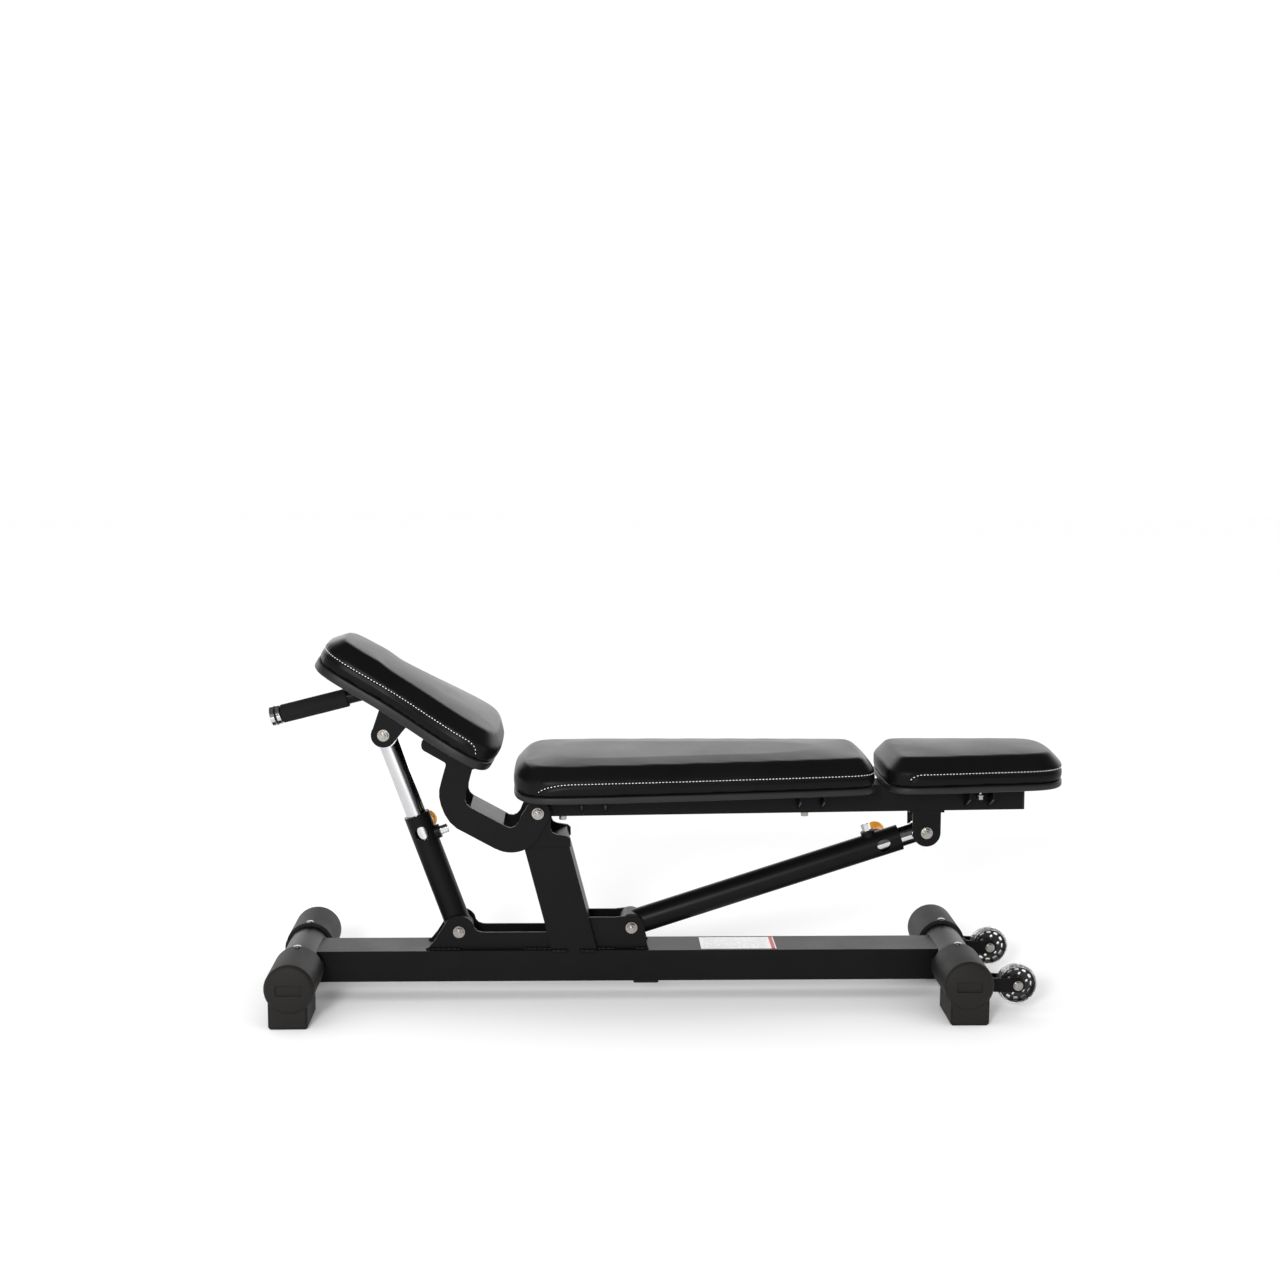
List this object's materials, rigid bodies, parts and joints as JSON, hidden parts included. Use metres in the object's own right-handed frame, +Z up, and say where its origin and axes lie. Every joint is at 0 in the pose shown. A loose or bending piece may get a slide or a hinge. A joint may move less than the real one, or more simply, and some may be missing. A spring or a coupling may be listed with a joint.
{
  "type": "decline sit up bench",
  "caption": "Adjustable sit up bench with a split back rest, a raised seat pad on a curved lever, telescopic struts, a hand grip, rubber feet and transport wheels.",
  "frame": {"origin": "bottom centre of the bounding box, on the floor", "axes": "+X along the bench towards the head pad and wheels, +Y across it, away from the viewer, +Z up"},
  "size_m": [1.4628, 0.3896, 0.6849],
  "materials": {
    "powder_black": "satin black powder coat",
    "boot_rubber": "matte charcoal rubber",
    "bright_steel": "bright zinc steel",
    "label_white": "white film with faint grey bars, no words",
    "hub_plastic": "black nylon",
    "clear_tyre": "clear polyurethane",
    "grip_foam": "black foam rubber",
    "chrome": "polished chrome",
    "board_black": "black covered board",
    "vinyl_black": "satin black vinyl with white stitching",
    "knob_orange": "orange plastic"
  },
  "bodies": {
    "base": {"main_beam": "powder_black", "left_foot_tube": "powder_black", "right_foot_tube": "powder_black", "left_boots": "boot_rubber", "right_boots": "boot_rubber", "boot_screws": "bright_steel", "post": "powder_black", "post_head_plates": "powder_black", "seat_strut_lugs": "powder_black", "back_strut_lugs": "powder_black", "beam_bumper": "boot_rubber", "beam_label": "label_white", "wheel_forks": "powder_black", "wheel_axles": "bright_steel", "strut_low_bolts": "bright_steel", "main_pivot_bolt": "bright_steel"},
    "wheel_near": {"wheel_hub_near": "hub_plastic", "wheel_tyre_near": "clear_tyre", "wheel_bearings_near": "bright_steel"},
    "wheel_far": {"wheel_hub_far": "hub_plastic", "wheel_tyre_far": "clear_tyre", "wheel_bearings_far": "bright_steel"},
    "seat": {"seat_lever_near": "powder_black", "seat_lever_far": "powder_black", "seat_lever_box": "powder_black", "seat_plate": "powder_black", "seat_strut_bracket": "powder_black", "seat_bracket_bolts": "bright_steel", "handle_tube": "powder_black", "handle_grip": "grip_foam", "handle_cap": "chrome", "seat_pad_board": "board_black", "seat_pad": "vinyl_black", "seat_pad_screws": "bright_steel"},
    "back": {"back_frame": "powder_black", "back_frame_bushing": "hub_plastic", "back_frame_cap": "hub_plastic", "pad_arms": "powder_black", "back_strut_bracket": "powder_black", "back_bracket_bolts": "bright_steel", "back_pad_board": "board_black", "back_pad": "vinyl_black", "head_pad_board": "board_black", "head_pad": "vinyl_black", "pad_bolts": "bright_steel"},
    "seat_strut_tube": {"seat_strut_outer": "powder_black", "seat_strut_bush": "hub_plastic", "seat_tension_bolt": "chrome"},
    "seat_strut_rod": {"seat_strut_inner": "chrome"},
    "seat_pull_pin": {"seat_pin": "bright_steel", "seat_knob": "knob_orange"},
    "back_strut_tube": {"back_strut_outer": "powder_black", "back_strut_bush": "hub_plastic", "back_tension_bolt": "chrome"},
    "back_strut_rod": {"back_strut_inner": "chrome"},
    "back_pull_pin": {"back_pin": "bright_steel", "back_knob": "knob_orange"}
  },
  "joints": [
    {"name": "back_tilt", "type": "hinge", "parent": "base", "child": "back", "pos_m": [-0.236, 0, 0.361], "axis": [0, -1, 0], "range_deg": [0, 60]},
    {"name": "back_strut_swing", "type": "hinge", "parent": "base", "child": "back_strut_tube", "pos_m": [-0.063, 0, 0.138], "axis": [0, -1, 0], "range_deg": [-1, 57.12]},
    {"name": "back_strut_slide", "type": "slide", "parent": "back_strut_tube", "child": "back_strut_rod", "axis": [0.9506, 0, 0.3105], "range_m": [-0.001, 0.2802]},
    {"name": "seat_tilt", "type": "hinge", "parent": "base", "child": "seat", "pos_m": [-0.236, 0, 0.361], "axis": [0, 1, 0], "range_deg": [-30, 0]},
    {"name": "seat_strut_swing", "type": "hinge", "parent": "base", "child": "seat_strut_tube", "pos_m": [-0.383, 0, 0.131], "axis": [0, 1, 0], "range_deg": [-18.97, 1]},
    {"name": "seat_strut_slide", "type": "slide", "parent": "seat_strut_tube", "child": "seat_strut_rod", "axis": [-0.3419, 0, 0.9397], "range_m": [-0.1262, 0.001]},
    {"name": "back_pin_pull", "type": "slide", "parent": "back_strut_tube", "child": "back_pull_pin", "axis": [0, 1, 0], "range_m": [0, 0.01], "stiffness_N_per_m": 1500, "springref_m": -0.003},
    {"name": "seat_pin_pull", "type": "slide", "parent": "seat_strut_tube", "child": "seat_pull_pin", "axis": [0, 1, 0], "range_m": [0, 0.01], "stiffness_N_per_m": 1500, "springref_m": -0.003},
    {"name": "wheel_spin_near", "type": "hinge", "parent": "base", "child": "wheel_near", "pos_m": [0.6405, -0.115, 0.056], "axis": [0, 1, 0], "continuous": true},
    {"name": "wheel_spin_far", "type": "hinge", "parent": "base", "child": "wheel_far", "pos_m": [0.6405, 0.115, 0.056], "axis": [0, 1, 0], "continuous": true}
  ],
  "couplings": [
    {"joint": "back_strut_swing", "follows": "back_tilt", "ratio": 0.94373},
    {"joint": "back_strut_slide", "follows": "back_tilt", "m_per_rad": 0.2666},
    {"joint": "seat_strut_swing", "follows": "seat_tilt", "ratio": 0.61568},
    {"joint": "seat_strut_slide", "follows": "seat_tilt", "m_per_rad": 0.23907}
  ]
}
